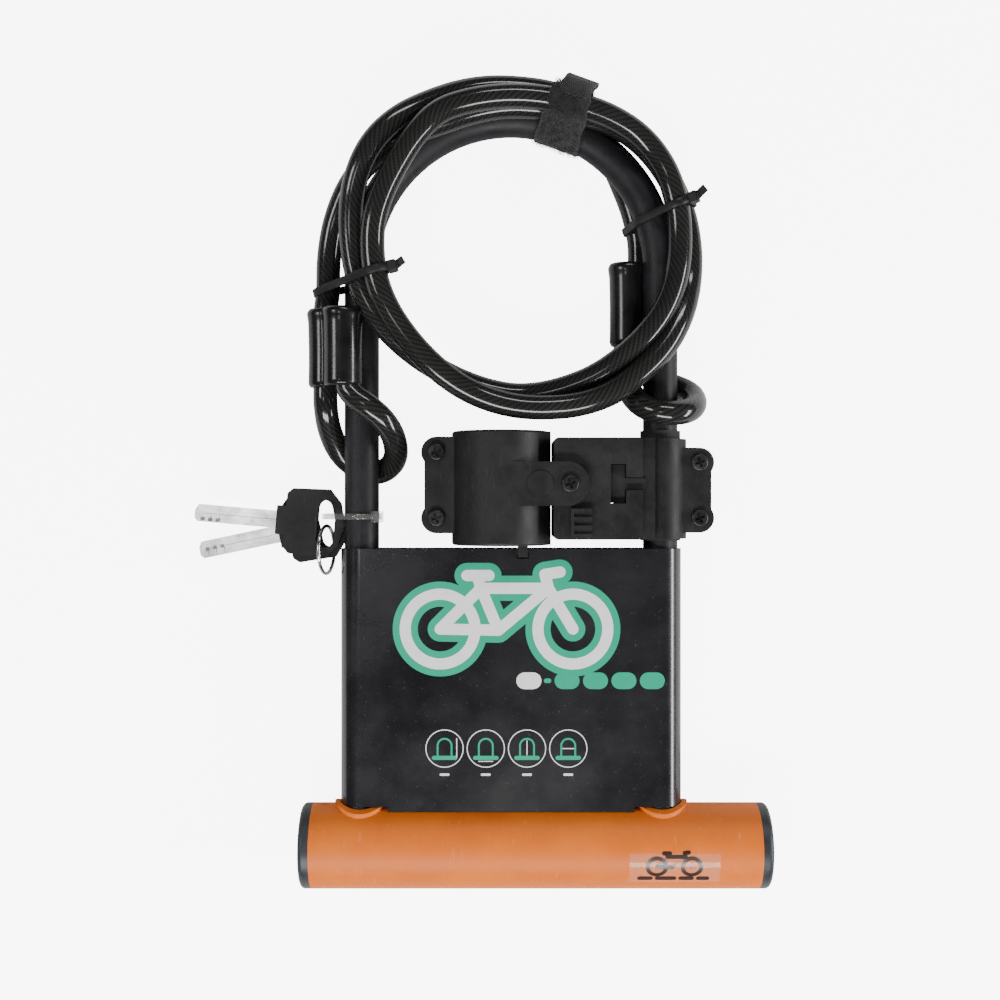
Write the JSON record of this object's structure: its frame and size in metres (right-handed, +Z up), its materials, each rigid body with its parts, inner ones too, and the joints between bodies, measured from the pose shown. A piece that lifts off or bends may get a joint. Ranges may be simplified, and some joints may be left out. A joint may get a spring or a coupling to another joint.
{
  "type": "u lock",
  "caption": "U-shaped bicycle lock with a vinyl-covered crossbar, a coiled loop cable strapped to its shackle, a quick-release frame bracket, a printed card sleeve and keys.",
  "frame": {"origin": "on the surface the lock lies on, under the middle of its outline without the cable", "axes": "+X along the crossbar towards the keyway, +Y from the crossbar towards the shackle's bend, +Z up from the surface it lies on"},
  "size_m": [0.2512, 0.3548, 0.0488],
  "materials": {
    "steel_dark": "turned steel, lightly oiled",
    "steel_bright": "nickel plated",
    "brass": "machined brass",
    "orange_vinyl": "matte grained orange vinyl",
    "black_vinyl": "satin black vinyl sleeve",
    "black_plastic": "fine-grained moulded nylon",
    "black_gloss": "smooth moulded PVC",
    "cap_plastic": "moulded end cap",
    "natural_nylon": "natural nylon",
    "black_rubber": "soft rubber liner",
    "black_card": "gloss laminated printed board",
    "cable_jacket": "smoky clear PVC over twisted wire",
    "hook_loop": "hook-and-loop tape",
    "clear_nylon": "clear nylon tie",
    "zinc_screw": "black zinc plated steel"
  },
  "bodies": {
    "crossbar": {"crossbar_tube": "steel_dark", "crossbar_sleeve": "orange_vinyl", "end_cap_left": "cap_plastic", "end_cap_right": "cap_plastic", "leg_guides": "black_plastic", "foot_seats": "natural_nylon", "cylinder_body": "brass", "cylinder_pins": "steel_dark", "rod_bearings": "natural_nylon", "cover_pin": "steel_bright"},
    "lock_core": {"lock_plug": "brass", "lock_wafers": "brass", "locking_rod": "steel_dark"},
    "cover": {"dust_cover": "black_gloss"},
    "shackle": {"shackle_bar": "steel_dark", "shackle_sleeve": "black_vinyl", "card_sleeve": "black_card", "card_tie": "black_plastic", "strap": "hook_loop", "zip_tie_left": "black_plastic", "zip_tie_right": "black_plastic", "cable_coil": "cable_jacket", "cable_tail": "cable_jacket", "cable_loop_left": "cable_jacket", "cable_loop_right": "cable_jacket", "crimp_left": "steel_dark", "crimp_right": "steel_dark", "crimp_cover_left": "black_gloss", "crimp_cover_right": "black_gloss", "key_tie": "clear_nylon", "shackle_clamp": "black_plastic", "shackle_liner": "black_rubber", "shackle_clamp_screws": "zinc_screw", "shackle_clamp_nuts": "zinc_screw"},
    "bracket": {"bracket_block": "black_plastic", "frame_clamp_upper": "black_plastic", "frame_clamp_lower": "black_plastic", "frame_liner": "black_rubber", "frame_clamp_screws": "zinc_screw", "frame_clamp_nuts": "zinc_screw", "clamp_hinge_pin": "steel_dark", "tongue_screw": "zinc_screw", "tongue_nut": "zinc_screw", "button_spring": "steel_bright"},
    "button": {"release_button": "black_plastic"},
    "upper_key": {"key_1_bow": "black_plastic", "key_1_blade": "steel_bright"},
    "lower_key": {"key_2_bow": "black_plastic", "key_2_blade": "steel_bright", "key_ring": "steel_bright"}
  },
  "joints": [
    {"name": "shackle_slide", "type": "slide", "parent": "crossbar", "child": "shackle", "axis": [0, 1, 0], "range_m": [0, 0.06]},
    {"name": "lock_turn", "type": "hinge", "parent": "crossbar", "child": "lock_core", "pos_m": [0.01367, -0.16111, 0.0113], "axis": [-1, 0, 0], "range_deg": [0, 90]},
    {"name": "cover_swing", "type": "hinge", "parent": "crossbar", "child": "cover", "pos_m": [0.12526, -0.16111, 0.0187], "axis": [1, 0, 0], "range_deg": [0, 110]},
    {"name": "bracket_slide", "type": "slide", "parent": "shackle", "child": "bracket", "axis": [0, 0, 1], "range_m": [0, 0.05]},
    {"name": "release_slide", "type": "slide", "parent": "bracket", "child": "button", "axis": [0, -1, 0], "range_m": [0, 0.0028], "stiffness_N_per_m": 600, "springref_m": -0.001},
    {"name": "upper_key_swing", "type": "hinge", "parent": "shackle", "child": "upper_key", "pos_m": [-0.06764, -0.01911, 0.0045], "axis": [0, 0, 1], "range_deg": [-12, 25]},
    {"name": "lower_key_swing", "type": "hinge", "parent": "shackle", "child": "lower_key", "pos_m": [-0.06764, -0.01911, 0.0045], "axis": [0, 0, 1], "range_deg": [-15, 10]}
  ]
}
